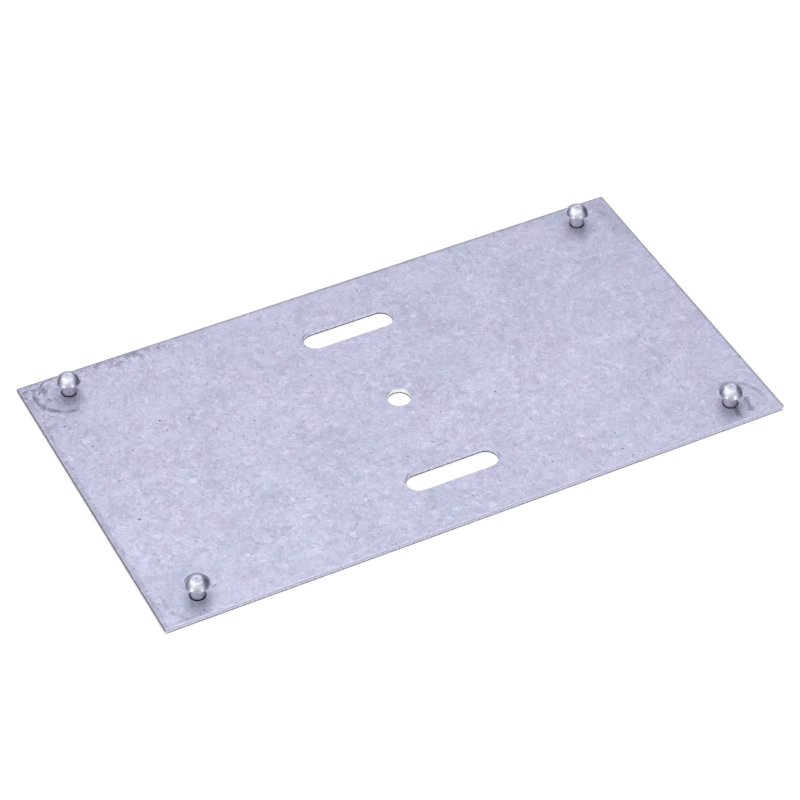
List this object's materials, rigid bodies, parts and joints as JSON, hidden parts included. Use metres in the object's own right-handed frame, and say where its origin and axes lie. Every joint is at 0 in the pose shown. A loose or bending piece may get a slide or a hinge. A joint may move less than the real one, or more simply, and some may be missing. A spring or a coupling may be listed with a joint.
{
  "type": "mounting plate",
  "caption": "Rectangular galvanised sheet-steel mounting plate with dome-headed hook studs near its corners, long screw slots and a centre screw hole.",
  "frame": {"origin": "on the plate's back face, on the axis of the centre hole", "axes": "+X along the plate's length and along its slots, +Y across it, +Z out of the face that the studs stand on"},
  "size_m": [0.183, 0.1, 0.0075],
  "materials": {
    "galvanised_sheet": "hot-dip zinc with a fine mottled spangle, satin",
    "turned_steel": "bright turned, satin"
  },
  "bodies": {
    "root": {"mounting_plate": "galvanised_sheet", "stud_front_left": "turned_steel", "stud_front_right": "turned_steel", "stud_back_left": "turned_steel", "stud_back_right": "turned_steel"}
  },
  "joints": []
}
